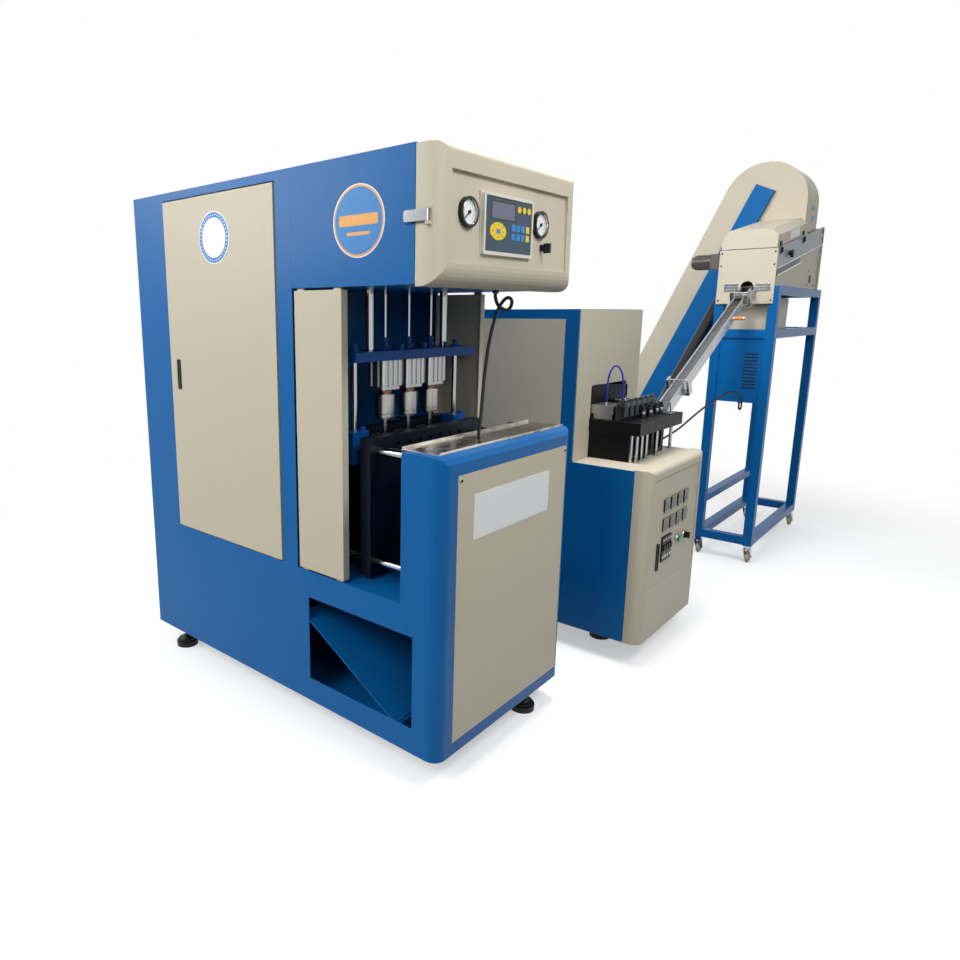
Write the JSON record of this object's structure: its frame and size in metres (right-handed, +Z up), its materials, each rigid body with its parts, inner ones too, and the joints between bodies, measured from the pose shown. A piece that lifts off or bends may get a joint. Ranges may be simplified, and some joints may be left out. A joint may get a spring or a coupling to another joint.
{
  "type": "blow moulding machine",
  "caption": "Semi-linear stretch blow moulding line: moulding cabinet, preform heater with console, and inclined preform loader with elevator.",
  "frame": {"origin": "on the floor, under the middle of the line's outer box", "axes": "+X runs along the line from the moulding cabinet to the loader, +Y points away from the operator, +Z is up"},
  "size_m": [4.147, 1.8, 2.464],
  "materials": {
    "blue_paint": "gloss",
    "deep_blue_paint": "satin",
    "pebble_paint": "satin",
    "stainless": "brushed",
    "bright_chrome": "polished",
    "black_steel": "satin",
    "black_plastic": "matte",
    "cast_aluminium": "satin",
    "cast_iron": "machined",
    "screen_plastic": "matte",
    "quartz": "clear",
    "green_plastic": "gloss",
    "cream_tread": "matte",
    "belt_rubber": "matte",
    "blue_tube": "gloss",
    "cable_rubber": "matte"
  },
  "bodies": {
    "frame": {"rear_cabinet": "blue_paint", "head_box": "blue_paint", "base_box": "blue_paint", "front_guard": "blue_paint", "front_panel": "pebble_paint", "guard_tray": "stainless", "blow_frame": "deep_blue_paint", "guide_columns": "bright_chrome", "blow_cylinders": "cast_aluminium", "levelling_feet": "black_plastic", "oven_body": "blue_paint", "oven_panels": "pebble_paint", "oven_lamps": "quartz", "console_body": "blue_paint", "infeed_table": "black_steel", "spindle_chain": "cast_iron", "feed_cylinder": "cast_aluminium", "transfer_rail": "stainless", "stand_frame": "blue_paint", "loader_housing": "pebble_paint", "trough_plates": "cast_aluminium", "drive_motor": "cast_iron", "chute": "stainless", "elevator_casing": "pebble_paint", "elevator_beams": "blue_paint", "elevator_belt": "belt_rubber", "screen_cable": "cable_rubber", "feed_tube": "blue_tube", "loader_cable": "cable_rubber"},
    "cabinet_door": {"cabinet_door": "pebble_paint", "door_handle": "black_plastic"},
    "control_cover": {"control_cover": "pebble_paint", "screen_unit": "screen_plastic", "gauge_cases": "black_plastic"},
    "needle_left": {"needle_left": "black_plastic"},
    "needle_right": {"needle_right": "black_plastic"},
    "key_switch": {"key_switch": "black_plastic"},
    "clasp_lever": {"clasp_lever": "bright_chrome"},
    "side_panel_left": {"side_panel_left": "pebble_paint"},
    "side_panel_right": {"side_panel_right": "pebble_paint"},
    "rear_mould": {"rear_mould": "cast_iron"},
    "front_mould": {"front_mould": "cast_iron"},
    "blow_cores": {"blow_cores": "bright_chrome"},
    "stretch_rods": {"stretch_rods": "bright_chrome"},
    "console_cover": {"console_cover": "pebble_paint", "meters": "black_plastic"},
    "power_button": {"power_button": "green_plastic"},
    "selector_knob": {"selector_knob": "black_plastic"},
    "star_wheel": {"star_wheel": "cast_aluminium"},
    "transfer_carriage": {"transfer_carriage": "cast_iron"},
    "castor_fork_left": {"castor_fork_left": "stainless"},
    "castor_fork_right": {"castor_fork_right": "stainless"},
    "castor_wheel_left": {"castor_wheel_left": "cream_tread"},
    "castor_wheel_right": {"castor_wheel_right": "cream_tread"},
    "castor_wheel_rear_left": {"castor_wheel_rear_left": "cream_tread"},
    "castor_wheel_rear_right": {"castor_wheel_rear_right": "cream_tread"},
    "roller_front": {"roller_front": "cast_aluminium"},
    "roller_rear": {"roller_rear": "cast_aluminium"},
    "trough_cover": {"trough_cover": "pebble_paint"},
    "trough_knob": {"trough_knob": "black_plastic"}
  },
  "joints": [
    {"name": "cabinet_door_hinge", "type": "hinge", "parent": "frame", "child": "cabinet_door", "pos_m": [-2.0565, 0.004, 1.2], "axis": [0, 0, 1], "range_deg": [0, 110]},
    {"name": "control_cover_hinge", "type": "hinge", "parent": "frame", "child": "control_cover", "pos_m": [-1.2435, -0.615, 1.78], "axis": [0, 0, 1], "range_deg": [0, 100]},
    {"name": "left_gauge_needle", "type": "hinge", "parent": "control_cover", "child": "needle_left", "pos_m": [-1.9155, -0.696, 1.804], "axis": [0, 1, 0], "range_deg": [0, 260]},
    {"name": "right_gauge_needle", "type": "hinge", "parent": "control_cover", "child": "needle_right", "pos_m": [-1.5035, -0.696, 1.804], "axis": [0, 1, 0], "range_deg": [0, 260]},
    {"name": "key_turn", "type": "hinge", "parent": "control_cover", "child": "key_switch", "pos_m": [-1.4865, -0.696, 1.732], "axis": [0, 1, 0], "range_deg": [0, 90]},
    {"name": "clasp_hinge", "type": "hinge", "parent": "control_cover", "child": "clasp_lever", "pos_m": [-2.0675, -0.662, 1.786], "axis": [0, 0, 1], "range_deg": [0, 110]},
    {"name": "left_panel_slide", "type": "slide", "parent": "frame", "child": "side_panel_left", "axis": [0, -1, 0], "range_m": [0, 0.24]},
    {"name": "right_panel_slide", "type": "slide", "parent": "frame", "child": "side_panel_right", "axis": [0, -1, 0], "range_m": [0, 0.22]},
    {"name": "rear_mould_slide", "type": "slide", "parent": "frame", "child": "rear_mould", "axis": [0, 1, 0], "range_m": [0, 0.06]},
    {"name": "front_mould_slide", "type": "slide", "parent": "frame", "child": "front_mould", "axis": [0, -1, 0], "range_m": [0, 0.06]},
    {"name": "blow_core_slide", "type": "slide", "parent": "frame", "child": "blow_cores", "axis": [0, 0, -1], "range_m": [0, 0.045]},
    {"name": "stretch_rod_slide", "type": "slide", "parent": "frame", "child": "stretch_rods", "axis": [0, 0, -1], "range_m": [0, 0.27]},
    {"name": "console_cover_hinge", "type": "hinge", "parent": "frame", "child": "console_cover", "pos_m": [-0.1465, -0.803, 0.49], "axis": [0, 0, 1], "range_deg": [0, 100]},
    {"name": "power_button_push", "type": "slide", "parent": "console_cover", "child": "power_button", "axis": [0, 1, 0], "range_m": [0, 0.003], "stiffness_N_per_m": 800, "springref_m": -0.002},
    {"name": "selector_turn", "type": "hinge", "parent": "console_cover", "child": "selector_knob", "pos_m": [-0.3565, -0.874, 0.504], "axis": [0, 1, 0], "range_deg": [-45, 45]},
    {"name": "star_wheel_turn", "type": "hinge", "parent": "frame", "child": "star_wheel", "pos_m": [-0.4345, -0.58, 1.11], "axis": [0, 0, 1], "continuous": true},
    {"name": "transfer_slide", "type": "slide", "parent": "frame", "child": "transfer_carriage", "axis": [1, 0, 0], "range_m": [-0.17, 0.17]},
    {"name": "left_castor_swivel", "type": "hinge", "parent": "frame", "child": "castor_fork_left", "pos_m": [0.9295, -0.846, 0.11], "axis": [0, 0, 1], "continuous": true},
    {"name": "right_castor_swivel", "type": "hinge", "parent": "frame", "child": "castor_fork_right", "pos_m": [1.9995, -0.846, 0.11], "axis": [0, 0, 1], "continuous": true},
    {"name": "left_castor_roll", "type": "hinge", "parent": "castor_fork_left", "child": "castor_wheel_left", "pos_m": [0.9635, -0.846, 0.04], "axis": [0, 1, 0], "continuous": true},
    {"name": "right_castor_roll", "type": "hinge", "parent": "castor_fork_right", "child": "castor_wheel_right", "pos_m": [2.0335, -0.846, 0.04], "axis": [0, 1, 0], "continuous": true},
    {"name": "rear_left_castor_roll", "type": "hinge", "parent": "frame", "child": "castor_wheel_rear_left", "pos_m": [0.9635, -0.556, 0.04], "axis": [0, 1, 0], "continuous": true},
    {"name": "rear_right_castor_roll", "type": "hinge", "parent": "frame", "child": "castor_wheel_rear_right", "pos_m": [2.0335, -0.556, 0.04], "axis": [0, 1, 0], "continuous": true},
    {"name": "front_roller_turn", "type": "hinge", "parent": "frame", "child": "roller_front", "pos_m": [1.40688, -0.746, 1.91511], "axis": [0.9833, 0, 0.1822], "continuous": true},
    {"name": "rear_roller_turn", "type": "hinge", "parent": "frame", "child": "roller_rear", "pos_m": [1.40688, -0.636, 1.91511], "axis": [0.9833, 0, 0.1822], "continuous": true},
    {"name": "trough_cover_hinge", "type": "hinge", "parent": "frame", "child": "trough_cover", "pos_m": [1.20203, -0.531, 1.92291], "axis": [-0.9833, 0, -0.1822], "range_deg": [0, 85]},
    {"name": "trough_knob_turn", "type": "hinge", "parent": "frame", "child": "trough_knob", "pos_m": [1.15178, -0.844, 1.86478], "axis": [0, 1, 0], "continuous": true}
  ],
  "couplings": [
    {"joint": "front_mould_slide", "follows": "rear_mould_slide", "ratio": 1},
    {"joint": "rear_roller_turn", "follows": "front_roller_turn", "ratio": -1}
  ]
}
